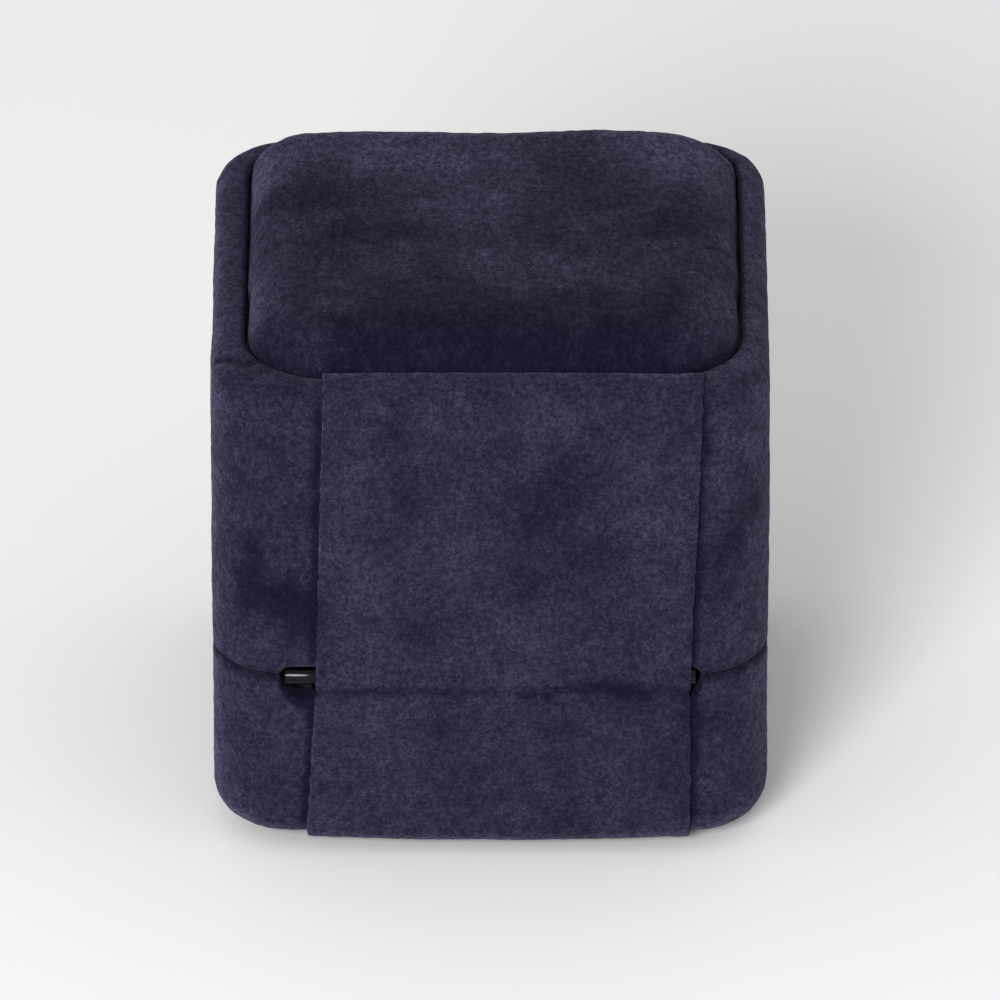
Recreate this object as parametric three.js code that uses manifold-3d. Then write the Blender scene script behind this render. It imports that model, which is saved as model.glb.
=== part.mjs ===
// A hinged ring box: two moulded half shells covered in velvet, a padded panel let into the lid's top,
// a sprung steel hinge in the back wall under a glued velvet strip, and two padded rolls that grip a ring.
//
// Millimetres, +Z up. The box opens at the front, -Y, and the hinge is at the back, +Y. The origin is the
// middle of the footprint, on the surface that the box stands on. Outlines of the walls are drawn as
// (u, z): u is the distance outwards from the velvet's outer face, so it is negative inside the box.
import * as THREE from "three";
import { mergeVertices } from "three/addons/utils/BufferGeometryUtils.js";
import Module from "manifold-3d";

const wasm = await Module();
wasm.setup();

// Driving dimensions of the closed box, over the velvet.
const WIDTH = 50;
const DEPTH = 50;
const CORNER = 7; // plan radius of the four upright edges
const FOOT = 1; // the bottom card holds the velvet this far off the table
const SEAM_Z = 18.2; // where the lid meets the base
const RIM_Z = 47.3; // top of the lid's rim, around the padded panel

// Materials in the wall, from outside to inside: velvet, moulded shell, velvet turned in.
const VELVET = 0.55;
const WALL = 1.3;
const GLUE = 0.05; // clearance between glued neighbours
const RIM = 2 * VELVET + 2 * GLUE + WALL;
const SHELL_OUT = -(VELVET + GLUE);
const SHELL_IN = SHELL_OUT - WALL;
const TURN_IN = 3; // height of the velvet turned in over each half's edge

// Edges and gaps.
const SEAM_GAP = 0.2;
const SEAM_EDGE = 0.7; // rounding of the velvet at the seam
const FOOT_ROUND = 3.5; // rounding of the base's bottom edge
const RIM_ROUND = 1.9; // rounding of the lid's top edge, outside
const RIM_EDGE = 0.5; // and inside, beside the padded panel
const BASE_TOP = SEAM_Z - SEAM_GAP / 2;
const LID_BOTTOM = SEAM_Z + SEAM_GAP / 2;
const FOLD_UNDER = 8.5; // how far the base's velvet runs in under the floor

// Lid.
const RECESS = 2.1; // depth of the recess that the padded panel sits in
const RECESS_Z = RIM_Z - RECESS;
const CEILING_Z = RECESS_Z - WALL;
const PAD_INSET = 2.9;
const PAD_SHIFT_X = -0.3; // the panel sits a little off centre in its recess
const PAD_RISE = 3.6; // crown of the panel above the rim
const PAD_SHOULDER = 6;
const CARD = 0.8;
const LINING_INSET = 2.85;
const LINING = 0.6;
const CEILING_PAD = 2.6;
const CEILING_INSET = LINING_INSET + LINING + 0.15;

// Base inside.
const FLOOR_Z = FOOT + VELVET + GLUE + WALL;
const ROLL_INSET = 3;
const ROLL_Z = SEAM_Z + 1.2;
const ROLL_WALL_ROUND = 4; // a roll's rounding on the side of the box's wall
const ROLL_SLOT_ROUND = 6; // and on the side of the slot
const SLOT = 4.6; // gap between the rolls, where the ring's band goes
const BOTTOM_CARD_INSET = 6;

// Hinge.
const HINGE_Y = DEPTH / 2 - 0.48;
const BARREL = 0.85;
const BORE = 0.42;
const PIN = 0.36;
const SHEET = 0.35; // thickness of the stamped leaves
const LEAF_REACH = 16;
const LEAF_HEIGHT = 9;
const NOTCH_REACH = 18.9;
const NOTCH_UP = 1.1; // above the seam
const NOTCH_DOWN = 2.3;
const KNUCKLE_GAP = 0.2;
const KNUCKLE_ENDS = [4.7, 9.3, 14.1, 18.4]; // distances from the middle where knuckles change leaf
const CAM = 0.74; // half the side of the square cam
const CAM_GAP = 0.12;
const SPRING = 0.25;
const SPRING_REACH = 4;
const RIVET = 0.6;
const RIVET_HEAD = 1.1;
const RIVET_HEAD_HEIGHT = 0.3;
const RIVET_X = 11;
const RIVET_DROP = 5.5; // from the seam

// Velvet strip glued over the hinge, put on slightly askew.
const STRIP = 0.6;
const STRIP_WIDTH = 33.6;
const STRIP_X = -1.25;
const STRIP_LEAN = -0.027; // sideways per millimetre of height
const STRIP_FREE = 1.5; // the stretch each side of the seam that flexes
const STRIP_TAIL = 5.5; // how far it runs in under the base

const ARC_STEPS = 3; // half the segments of a quarter circle
const MIN_CORNER = 0.5;

const finish = (color, roughness, metalness = 0) =>
  new THREE.MeshStandardMaterial({ color, roughness, metalness });
const materials = {
  velvet: finish(0x2e2d42, 0.95),
  plastic: finish(0x1b1b24, 0.6),
  card: finish(0xb9ab93, 0.9),
  foam: finish(0xd8d4c8, 1),
  satin: finish(0x33324c, 0.4),
  steel: finish(0xb8b8bc, 0.3, 1),
};

// ---- shapes ----

// The box's plan at a distance u outwards from the velvet's face, as points in the XY plane.
function plan(u) {
  const r = Math.max(CORNER + u, MIN_CORNER);
  const x = WIDTH / 2 + u - r;
  const y = DEPTH / 2 + u - r;
  const outline = new THREE.Path();
  outline.absarc(x, y, r, 0, Math.PI / 2);
  outline.absarc(-x, y, r, Math.PI / 2, Math.PI);
  outline.absarc(-x, -y, r, Math.PI, 1.5 * Math.PI);
  outline.absarc(x, -y, r, 1.5 * Math.PI, 2 * Math.PI);
  return outline.getPoints(ARC_STEPS);
}

// Carries a section of (u, z) points round the plan. It climbs on the outside of the piece. A section that
// isn't a ring is closed by a flat face at each end.
function sweep(section, ring = false) {
  const rows = section.map(({ x: u, y: z }) => plan(u).map((p) => [p.x, p.y, z]));
  const count = rows[0].length;
  const positions = rows.flat(2);
  const index = [];
  const bands = ring ? rows.length : rows.length - 1;
  for (let i = 0; i < bands; i++) {
    for (let j = 0; j < count; j++) {
      const next = (j + 1) % count;
      const low = i * count;
      const high = ((i + 1) % rows.length) * count;
      index.push(low + j, low + next, high + j, low + next, high + next, high + j);
    }
  }
  if (!ring) {
    const first = rows.length * count;
    const last = first + 1;
    const top = (rows.length - 1) * count;
    positions.push(0, 0, section[0].y, 0, 0, section.at(-1).y);
    for (let j = 0; j < count; j++) {
      const next = (j + 1) % count;
      index.push(first, next, j, last, top + j, top + next);
    }
  }
  const geometry = new THREE.BufferGeometry();
  geometry.setAttribute("position", new THREE.Float32BufferAttribute(positions, 3));
  geometry.setIndex(index);
  return geometry;
}

// A side view in (y, z) made solid from x0 to x1.
function across(shape, x0, x1) {
  const geometry = new THREE.ExtrudeGeometry(shape, {
    depth: x1 - x0,
    bevelEnabled: false,
    curveSegments: 2 * ARC_STEPS,
  });
  const turn = new THREE.Matrix4().makeBasis(
    new THREE.Vector3(0, 1, 0),
    new THREE.Vector3(0, 0, 1),
    new THREE.Vector3(1, 0, 0),
  );
  return geometry.applyMatrix4(turn).translate(x0, 0, 0);
}

// A box from its lowest to its highest corner.
function block(x0, x1, y0, y1, z0, z1) {
  const geometry = new THREE.BoxGeometry(x1 - x0, y1 - y0, z1 - z0);
  return geometry.translate((x0 + x1) / 2, (y0 + y1) / 2, (z0 + z1) / 2);
}

// A flat slab that follows the plan at u, from z0 to z1.
const slab = (u, z0, z1) => sweep([new THREE.Vector2(u, z0), new THREE.Vector2(u, z1)]);

// A round bar along Y or X, centred at a point.
function bar(axis, radius, length, x, y, z) {
  const geometry = new THREE.CylinderGeometry(radius, radius, length, 6 * ARC_STEPS);
  if (axis === "x") geometry.rotateZ(Math.PI / 2);
  return geometry.translate(x, y, z);
}

// ---- joining and cutting ----

function solid(geometry) {
  const bare = new THREE.BufferGeometry();
  bare.setAttribute("position", geometry.getAttribute("position"));
  if (geometry.index) bare.setIndex(geometry.index);
  const merged = mergeVertices(bare, 1e-5);
  return new wasm.Manifold(
    new wasm.Mesh({
      numProp: 3,
      vertProperties: new Float32Array(merged.getAttribute("position").array),
      triVerts: new Uint32Array(merged.index.array),
    }),
  );
}

function geometryOf(manifold) {
  const mesh = manifold.getMesh();
  const geometry = new THREE.BufferGeometry();
  geometry.setAttribute("position", new THREE.BufferAttribute(mesh.vertProperties, 3));
  geometry.setIndex(new THREE.BufferAttribute(mesh.triVerts, 1));
  return geometry;
}

const cut = (geometry, ...tools) =>
  geometryOf(tools.reduce((rest, tool) => rest.subtract(solid(tool)), solid(geometry)));

const join = (...pieces) => geometryOf(pieces.map(solid).reduce((a, b) => a.add(b)));

const common = (a, b) => geometryOf(solid(a).intersect(solid(b)));

// ---- wall cut-outs ----

// The opening in both back walls that the hinge's barrel lies in.
const notch = () =>
  block(
    -NOTCH_REACH,
    NOTCH_REACH,
    DEPTH / 2 - 2 * RIM,
    DEPTH / 2 + 1,
    SEAM_Z - NOTCH_DOWN,
    SEAM_Z + NOTCH_UP,
  );

// The stretch of turned-in velvet that is left out behind the leaves.
const leafRelief = () =>
  block(
    -NOTCH_REACH,
    NOTCH_REACH,
    DEPTH / 2 - 2 * RIM,
    DEPTH / 2 + SHELL_IN,
    SEAM_Z - 2 * TURN_IN,
    SEAM_Z + 2 * TURN_IN,
  );

// Clearance holes through a back wall and its leaf. side is +1 for the lid and -1 for the base.
const rivetHoles = (side) =>
  [-RIVET_X, RIVET_X].map((x) =>
    bar("y", RIVET + GLUE, 4 * RIM, x, DEPTH / 2 - RIM, SEAM_Z + side * RIVET_DROP),
  );

// ---- base ----

function baseShell() {
  const section = new THREE.Path();
  section.moveTo(-FOOT_ROUND, FOOT - SHELL_OUT);
  section.absarc(-FOOT_ROUND, FOOT + FOOT_ROUND, FOOT_ROUND + SHELL_OUT, -Math.PI / 2, 0);
  section.lineTo(SHELL_OUT, BASE_TOP + SHELL_OUT);
  section.lineTo(SHELL_IN, BASE_TOP + SHELL_OUT);
  section.lineTo(SHELL_IN, FLOOR_Z);
  return cut(sweep(section.getPoints(ARC_STEPS)), notch(), ...rivetHoles(-1));
}

function baseVelvet() {
  const foot = FOOT + FOOT_ROUND;
  const s = new THREE.Path();
  s.moveTo(-FOLD_UNDER, FOOT);
  s.lineTo(-FOOT_ROUND, FOOT);
  s.absarc(-FOOT_ROUND, foot, FOOT_ROUND, -Math.PI / 2, 0);
  s.absarc(-SEAM_EDGE, BASE_TOP - SEAM_EDGE, SEAM_EDGE, 0, Math.PI / 2);
  s.absarc(SEAM_EDGE - RIM, BASE_TOP - SEAM_EDGE, SEAM_EDGE, Math.PI / 2, Math.PI);
  s.lineTo(-RIM, BASE_TOP - TURN_IN);
  s.lineTo(VELVET - RIM, BASE_TOP - TURN_IN);
  s.lineTo(VELVET - RIM, BASE_TOP - VELVET);
  s.lineTo(-VELVET, BASE_TOP - VELVET);
  s.absarc(-FOOT_ROUND, foot, FOOT_ROUND - VELVET, 0, -Math.PI / 2, true);
  s.lineTo(-FOLD_UNDER, FOOT + VELVET);
  return cut(sweep(s.getPoints(ARC_STEPS), true), notch(), leafRelief());
}

const bottomCard = () => slab(-BOTTOM_CARD_INSET, 0, FOOT - GLUE);

const insertCard = () => slab(-ROLL_INSET, FLOOR_Z + GLUE, FLOOR_Z + CARD);

// Side view of the front roll, shrunk by a margin on every side but the bottom, which reaches down to z0.
function rollOutline(margin, z0) {
  const wall = DEPTH / 2 - ROLL_INSET - margin;
  const slot = SLOT / 2 + margin;
  const top = ROLL_Z - margin;
  const wallRound = ROLL_WALL_ROUND - margin;
  const slotRound = ROLL_SLOT_ROUND - margin;
  const outline = new THREE.Shape();
  outline.moveTo(-wall, z0);
  outline.lineTo(-slot, z0);
  outline.absarc(-slot - slotRound, top - slotRound, slotRound, 0, Math.PI / 2);
  outline.absarc(-wall + wallRound, top - wallRound, wallRound, Math.PI / 2, Math.PI);
  return outline;
}

// A roll that fits the base's rounded corners. The front one is drawn, and the rear one is turned round.
function roll(margin, z0) {
  const reach = WIDTH / 2 - ROLL_INSET - margin;
  const straight = across(rollOutline(margin, z0), -reach, reach);
  return common(straight, slab(-ROLL_INSET - margin, z0 - 1, ROLL_Z + 1));
}

const ROLL_BOTTOM = FLOOR_Z + CARD + GLUE;

const rollFoam = () => roll(VELVET + GLUE, ROLL_BOTTOM);

const rollVelvet = () => cut(roll(0, ROLL_BOTTOM), roll(VELVET, ROLL_BOTTOM - 1));

const turned = (geometry) => geometry.rotateZ(Math.PI);

// ---- lid ----

function lidShell() {
  const section = new THREE.Path();
  section.moveTo(SHELL_IN, CEILING_Z);
  section.lineTo(SHELL_IN, LID_BOTTOM - SHELL_OUT);
  section.lineTo(SHELL_OUT, LID_BOTTOM - SHELL_OUT);
  section.absarc(-RIM_ROUND, RIM_Z - RIM_ROUND, RIM_ROUND + SHELL_OUT, 0, Math.PI / 2);
  section.lineTo(SHELL_IN, RIM_Z + SHELL_OUT);
  section.lineTo(SHELL_IN, RECESS_Z);
  return cut(sweep(section.getPoints(ARC_STEPS)), notch(), ...rivetHoles(1));
}

function lidVelvet() {
  const s = new THREE.Path();
  s.moveTo(-RIM, LID_BOTTOM + TURN_IN);
  s.lineTo(-RIM, LID_BOTTOM + SEAM_EDGE);
  s.absarc(SEAM_EDGE - RIM, LID_BOTTOM + SEAM_EDGE, SEAM_EDGE, Math.PI, 1.5 * Math.PI);
  s.absarc(-SEAM_EDGE, LID_BOTTOM + SEAM_EDGE, SEAM_EDGE, 1.5 * Math.PI, 2 * Math.PI);
  s.absarc(-RIM_ROUND, RIM_Z - RIM_ROUND, RIM_ROUND, 0, Math.PI / 2);
  s.absarc(RIM_EDGE - RIM, RIM_Z - RIM_EDGE, RIM_EDGE, Math.PI / 2, Math.PI);
  s.lineTo(-RIM, RECESS_Z + GLUE);
  s.lineTo(VELVET - RIM, RECESS_Z + GLUE);
  s.lineTo(VELVET - RIM, RIM_Z - VELVET);
  s.absarc(-RIM_ROUND, RIM_Z - RIM_ROUND, RIM_ROUND - VELVET, Math.PI / 2, 0, true);
  s.lineTo(-VELVET, LID_BOTTOM + VELVET);
  s.lineTo(VELVET - RIM, LID_BOTTOM + VELVET);
  s.lineTo(VELVET - RIM, LID_BOTTOM + TURN_IN);
  return cut(sweep(s.getPoints(ARC_STEPS), true), notch(), leafRelief());
}

const lidLining = () =>
  sweep(
    [
      new THREE.Vector2(-LINING_INSET - LINING, ROLL_Z),
      new THREE.Vector2(-LINING_INSET, ROLL_Z),
      new THREE.Vector2(-LINING_INSET, CEILING_Z - GLUE),
      new THREE.Vector2(-LINING_INSET - LINING, CEILING_Z - GLUE),
    ],
    true,
  );

const CEILING_CARD_Z = CEILING_Z - GLUE - CARD;

const ceilingCard = () => slab(-CEILING_INSET, CEILING_CARD_Z, CEILING_Z - GLUE);

// Adds a pad's rounded shoulder to a section, below its card or above it. margin shrinks the pad.
const ceilingShoulder = (section, margin, ...angles) =>
  section.absarc(
    -CEILING_INSET - CEILING_PAD,
    CEILING_CARD_Z - GLUE,
    CEILING_PAD - margin,
    ...angles,
  );

function ceilingFoam() {
  const section = new THREE.Path();
  ceilingShoulder(section, VELVET + GLUE, -Math.PI / 2, 0);
  return sweep(section.getPoints(ARC_STEPS));
}

function ceilingSatin() {
  const outside = new THREE.Path();
  ceilingShoulder(outside, 0, -Math.PI / 2, 0);
  const inside = new THREE.Path();
  ceilingShoulder(inside, VELVET, -Math.PI / 2, 0);
  inside.lineTo(VELVET - CEILING_INSET - 2 * VELVET, CEILING_CARD_Z + 1);
  return cut(sweep(outside.getPoints(ARC_STEPS)), sweep(inside.getPoints(ARC_STEPS)));
}

// The padded panel above z0, shrunk by a margin: straight sides up to the rim, then a rounded shoulder.
function panel(margin, z0) {
  const section = new THREE.Path();
  const side = -PAD_INSET - margin;
  section.moveTo(side, z0);
  section.lineTo(side, RIM_Z);
  section.absellipse(
    side - PAD_SHOULDER + margin,
    RIM_Z,
    PAD_SHOULDER - margin,
    PAD_RISE - margin,
    0,
    Math.PI / 2,
    false,
    0,
  );
  return sweep(section.getPoints(ARC_STEPS)).translate(PAD_SHIFT_X, 0, 0);
}

const PAD_BOTTOM = RECESS_Z + GLUE;

const padVelvet = () => cut(panel(0, PAD_BOTTOM), panel(VELVET, PAD_BOTTOM - 1));

const padBoard = () =>
  slab(-PAD_INSET - VELVET - GLUE, PAD_BOTTOM, PAD_BOTTOM + CARD).translate(PAD_SHIFT_X, 0, 0);

const padFoam = () => panel(VELVET + GLUE, PAD_BOTTOM + CARD + GLUE);

// ---- hinge ----

// Where the knuckles lie along X: the base's and the lid's in turn, the lid's middle one being the cam.
const play = KNUCKLE_GAP / 2;
const [CAM_END, INNER_END, MIDDLE_END, OUTER_END] = KNUCKLE_ENDS;
const mirrored = (from, to) => [
  [from + play, to - play],
  [play - to, -from - play],
];
const baseKnuckles = [
  ...mirrored(CAM_END, INNER_END),
  ...mirrored(MIDDLE_END, OUTER_END + play),
];
const lidKnuckles = mirrored(INNER_END, MIDDLE_END);
const camSpan = [play - CAM_END, CAM_END - play];

const LEAF_OUT = DEPTH / 2 + SHELL_IN - GLUE;
const LEAF_IN = LEAF_OUT - SHEET;

// The tab that joins a knuckle to its leaf's plate, tangent to the barrel.
function tab([x0, x1], side) {
  const far = SEAM_Z + side * BARREL;
  const near = far - side * SHEET;
  return block(x0, x1, LEAF_IN, HINGE_Y, Math.min(near, far), Math.max(near, far));
}

const knuckle = ([x0, x1]) => bar("x", BARREL, x1 - x0, (x0 + x1) / 2, HINGE_Y, SEAM_Z);

const bore = () => bar("x", BORE, WIDTH, 0, HINGE_Y, SEAM_Z);

// The upright plate of a leaf, against the inside of its wall.
function plate(side) {
  const near = SEAM_Z + side * (BARREL - SHEET);
  const far = SEAM_Z + side * LEAF_HEIGHT;
  return block(
    -LEAF_REACH,
    LEAF_REACH,
    LEAF_IN,
    LEAF_OUT,
    Math.min(near, far),
    Math.max(near, far),
  );
}

const SPRING_TOP = SEAM_Z - CAM * Math.SQRT2 - CAM_GAP;
const SPRING_RIVET_Z = SEAM_Z - RIVET_DROP;

function hingeBaseLeaf() {
  const way = SPRING_REACH + KNUCKLE_GAP;
  const springWay = block(-way, way, LEAF_IN - 1, LEAF_OUT + 1, SPRING_TOP - SPRING - CAM_GAP, SEAM_Z);
  const parts = baseKnuckles.flatMap((span) => [tab(span, -1), knuckle(span)]);
  const springHole = bar("y", RIVET + GLUE, RIM, 0, LEAF_OUT, SPRING_RIVET_Z);
  return cut(join(plate(-1), ...parts), bore(), springWay, springHole, ...rivetHoles(-1));
}

function hingeLidLeaf() {
  const cam = block(...camSpan, HINGE_Y - CAM, HINGE_Y + CAM, SEAM_Z - CAM, SEAM_Z + CAM);
  const parts = lidKnuckles.flatMap((span) => [tab(span, 1), knuckle(span)]);
  return cut(join(plate(1), ...parts, tab(camSpan, 1), cam), bore(), ...rivetHoles(1));
}

const hingePin = () => bar("x", PIN, 2 * OUTER_END, 0, HINGE_Y, SEAM_Z);

// A flat spring, bent over the base leaf's top edge so that its tongue lies under the cam.
function snapSpring() {
  const back = LEAF_IN - GLUE;
  const shape = new THREE.Shape();
  shape.moveTo(back - SPRING, SEAM_Z - LEAF_HEIGHT + 1);
  shape.lineTo(back, SEAM_Z - LEAF_HEIGHT + 1);
  shape.lineTo(back, SPRING_TOP - SPRING);
  shape.lineTo(HINGE_Y + CAM, SPRING_TOP - SPRING);
  shape.lineTo(HINGE_Y + CAM, SPRING_TOP);
  shape.lineTo(back - SPRING, SPRING_TOP);
  const hole = bar("y", RIVET + GLUE, RIM, 0, back, SPRING_RIVET_Z);
  return cut(across(shape, -SPRING_REACH, SPRING_REACH), hole);
}

// A rivet along Y: its shank ends at y1, and its domed head stands inwards from y0.
function rivet(x, z, y0, y1) {
  const outline = new THREE.Path();
  outline.moveTo(0, y1);
  outline.lineTo(RIVET, y1);
  outline.lineTo(RIVET, y0);
  outline.lineTo(RIVET_HEAD, y0);
  outline.lineTo(RIVET, y0 - RIVET_HEAD_HEIGHT);
  outline.lineTo(0, y0 - RIVET_HEAD_HEIGHT);
  const profile = outline.getPoints().reverse();
  return new THREE.LatheGeometry(profile, 4 * ARC_STEPS).translate(x, 0, z);
}

const wallRivet = (x, side) =>
  rivet(x, SEAM_Z + side * RIVET_DROP, LEAF_IN - GLUE, DEPTH / 2 + SHELL_OUT);

const springRivet = () =>
  rivet(0, SPRING_RIVET_Z, LEAF_IN - SPRING - 2 * GLUE, LEAF_OUT);

// ---- strip over the hinge ----

// A side view of the strip made solid and leaned over. The outline gives the strip's two faces.
function strip(outline) {
  const geometry = across(outline, STRIP_X - STRIP_WIDTH / 2, STRIP_X + STRIP_WIDTH / 2);
  const lean = new THREE.Matrix4().makeShear(0, 0, 0, 0, STRIP_LEAN, 0);
  return geometry.translate(0, 0, -SEAM_Z).applyMatrix4(lean).translate(0, 0, SEAM_Z);
}

function stripLower() {
  const y = DEPTH / 2 - FOOT_ROUND;
  const z = FOOT + FOOT_ROUND;
  const face = FOOT_ROUND + GLUE;
  const outline = new THREE.Shape();
  outline.moveTo(y + face, SEAM_Z - STRIP_FREE);
  outline.lineTo(y + face, z);
  outline.absarc(y, z, face, 0, -Math.PI / 2, true);
  outline.lineTo(DEPTH / 2 - STRIP_TAIL, z - face);
  outline.lineTo(DEPTH / 2 - STRIP_TAIL, z - face - STRIP);
  outline.absarc(y, z, face + STRIP, -Math.PI / 2, 0);
  outline.lineTo(y + face + STRIP, SEAM_Z - STRIP_FREE);
  return strip(outline);
}

function stripUpper() {
  const y = DEPTH / 2 - RIM_ROUND;
  const z = RIM_Z - RIM_ROUND;
  const face = RIM_ROUND + GLUE;
  const end = DEPTH / 2 - RIM + 0.1;
  const outline = new THREE.Shape();
  outline.moveTo(y + face + STRIP, SEAM_Z + STRIP_FREE);
  outline.lineTo(y + face + STRIP, z);
  outline.absarc(y, z, face + STRIP, 0, Math.PI / 2);
  outline.lineTo(end, z + face + STRIP);
  outline.lineTo(end, z + face);
  outline.absarc(y, z, face, Math.PI / 2, 0, true);
  outline.lineTo(y + face, SEAM_Z + STRIP_FREE);
  return strip(outline);
}

// ---- assembly ----

const box = new THREE.Group();
const base = new THREE.Group();
const lid = new THREE.Group();
box.add(base, lid);

// The strip stands out at the back only, so the box moves forward by half of that to stay centred.
box.position.y = -(GLUE + STRIP) / 2;

function place(group, name, geometry, material) {
  const mesh = new THREE.Mesh(geometry, material);
  mesh.name = name;
  group.add(mesh);
}

place(base, "base_shell", baseShell(), materials.plastic);
place(base, "base_velvet", baseVelvet(), materials.velvet);
place(base, "bottom_card", bottomCard(), materials.velvet);
place(base, "insert_card", insertCard(), materials.card);
place(base, "front_roll_foam", rollFoam(), materials.foam);
place(base, "front_roll_velvet", rollVelvet(), materials.velvet);
place(base, "rear_roll_foam", turned(rollFoam()), materials.foam);
place(base, "rear_roll_velvet", turned(rollVelvet()), materials.velvet);
place(base, "hinge_base_leaf", hingeBaseLeaf(), materials.steel);
place(base, "hinge_pin", hingePin(), materials.steel);
place(base, "snap_spring", snapSpring(), materials.steel);
place(base, "spring_rivet", springRivet(), materials.steel);
place(base, "base_rivet_left", wallRivet(-RIVET_X, -1), materials.steel);
place(base, "base_rivet_right", wallRivet(RIVET_X, -1), materials.steel);
place(base, "hinge_strip_lower", stripLower(), materials.velvet);

place(lid, "lid_shell", lidShell(), materials.plastic);
place(lid, "lid_velvet", lidVelvet(), materials.velvet);
place(lid, "top_pad_board", padBoard(), materials.card);
place(lid, "top_pad_foam", padFoam(), materials.foam);
place(lid, "top_pad_velvet", padVelvet(), materials.velvet);
place(lid, "lid_lining", lidLining(), materials.satin);
place(lid, "ceiling_card", ceilingCard(), materials.card);
place(lid, "ceiling_foam", ceilingFoam(), materials.foam);
place(lid, "ceiling_satin", ceilingSatin(), materials.satin);
place(lid, "hinge_lid_leaf", hingeLidLeaf(), materials.steel);
place(lid, "lid_rivet_left", wallRivet(-RIVET_X, 1), materials.steel);
place(lid, "lid_rivet_right", wallRivet(RIVET_X, 1), materials.steel);
place(lid, "hinge_strip_upper", stripUpper(), materials.velvet);

export default box;
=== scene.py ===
"""Looks for a hinged ring box in dark indigo velvet.

Lengths are in millimetres until a mesh is made, in the CAD model's frame: +Z up, the box opens at -Y, the
hinge is at +Y. Outlines of the walls are (u, z), where u is the distance outwards from the velvet's face.
Materials, lights and the camera are in metres. The last value that noise() takes is its seed.
"""
import math

import bmesh
import bpy
import numpy as np
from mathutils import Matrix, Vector


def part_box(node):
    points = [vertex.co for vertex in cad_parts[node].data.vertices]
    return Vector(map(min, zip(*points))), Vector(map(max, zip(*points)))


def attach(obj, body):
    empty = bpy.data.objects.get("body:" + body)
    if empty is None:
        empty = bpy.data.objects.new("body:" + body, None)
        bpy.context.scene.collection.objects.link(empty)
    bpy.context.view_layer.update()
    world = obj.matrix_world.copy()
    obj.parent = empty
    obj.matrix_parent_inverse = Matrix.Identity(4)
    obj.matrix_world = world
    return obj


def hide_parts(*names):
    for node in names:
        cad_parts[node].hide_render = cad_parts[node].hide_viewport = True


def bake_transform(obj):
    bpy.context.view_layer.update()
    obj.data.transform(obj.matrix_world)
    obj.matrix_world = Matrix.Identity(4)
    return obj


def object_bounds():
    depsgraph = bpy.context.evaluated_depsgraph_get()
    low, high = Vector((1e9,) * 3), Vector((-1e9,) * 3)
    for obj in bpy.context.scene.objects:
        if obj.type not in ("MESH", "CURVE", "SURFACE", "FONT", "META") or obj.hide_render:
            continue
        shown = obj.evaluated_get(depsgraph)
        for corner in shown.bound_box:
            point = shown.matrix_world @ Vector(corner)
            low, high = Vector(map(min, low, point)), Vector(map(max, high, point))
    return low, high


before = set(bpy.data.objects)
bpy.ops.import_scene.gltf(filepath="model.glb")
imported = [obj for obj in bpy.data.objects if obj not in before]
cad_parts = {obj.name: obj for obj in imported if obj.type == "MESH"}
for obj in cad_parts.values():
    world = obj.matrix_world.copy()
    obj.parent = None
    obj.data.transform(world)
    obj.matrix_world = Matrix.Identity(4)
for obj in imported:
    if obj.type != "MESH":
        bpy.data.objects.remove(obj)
cad_low, cad_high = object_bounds()
MM = 0.001


def node_box(node):
    """Lowest and highest corner of a CAD node, in millimetres."""
    low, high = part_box(node)
    return np.array(low) / MM, np.array(high) / MM


# ---- sizes, from the frame ----

base_low, base_high = node_box("base_velvet")
lid_low, lid_high = node_box("lid_velvet")
pad_low, pad_high = node_box("top_pad_velvet")
HALF = (lid_high[0] - lid_low[0]) / 2
CENTRE_Y = (lid_high[1] + lid_low[1]) / 2
BACK = CENTRE_Y + HALF
FOOT = base_low[2]
SEAM = (base_high[2] + lid_low[2]) / 2
RIM = lid_high[2]
RECESS = pad_low[2]

# ---- sizes of the velvet work ----

CORNER = 7.0
SKIN = 0.55  # the velvet's thickness, pile and all
TURN = 2.5  # from the outer face to the face of the velvet turned in
RIM_TURN = 2.85  # the same at the rim, where the pile fills the groove
TURN_HEIGHT = 3.0  # how far the velvet turned in at the seam reaches up or down
FOLD_UNDER = 8.5  # how far the base's velvet reaches in under the box
SEAM_GAP = 0.24
SEAM_ROUND = 0.6
FOOT_ROUND = 3.5
RIM_ROUND = 2.3
RIM_INNER = 0.5  # radius of the rim's edge at the groove
WALL_BULGE = 0.05  # of the lid's walls
NOTCH_END = 18.9  # half the width of the walls' notches for the hinge
BASE_NOTCH = (2.15, 2.4)  # a notch's depth, and the run over which its ends are rounded
LID_NOTCH = (0.75, 1.2)

PAD_HALF = (22.15, 22.1)  # the top panel's half sizes
PAD_CORNERS = (7.8, 5.4)  # its corner radius at the back and at the front
PAD_SLOPES = (6.5, 4.8, 5.0, 6.5)  # the widths over which it rounds at -X, +X, -Y and +Y
PAD_EDGE = RIM - 0.5  # where its sides begin to round
PAD_GRAIN = (1, 0.6, 1)  # how its pile is brushed into strokes along Y

STRIP = 0.5  # the strip's thickness
STRIP_THIN = 0.34  # the same where it bends over the hinge
STRIP_WIDTH = 34.0
STRIP_TAIL = 5.5  # how far it reaches in under the base
STRIP_HEIGHTS = [2, SEAM, RIM]
STRIP_EDGES = {1: [16.3, 15.4, 14.7], -1: [-17.75, -17.75, -18.8]}  # each cut edge's x at those heights

SOFT_ROOM = 0.05  # between a roll or the ceiling pad and the tray round it
LINING = 0.5  # the satin's thickness with its backing
LINING_FOLD = 0.25  # radius of the lining's folded lower edge

# ---- spacing of the points ----

PILE_STEP = 0.26  # on a face that shows
LID_STEP = 0.32  # on the lid's walls
RIM_STEP = 0.2  # over the rim
EDGE_STEP = 0.14  # round a small edge
INNER_STEP = 0.5  # on a face turned in
HIDDEN_STEP = 2.0  # where nothing shows


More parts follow.
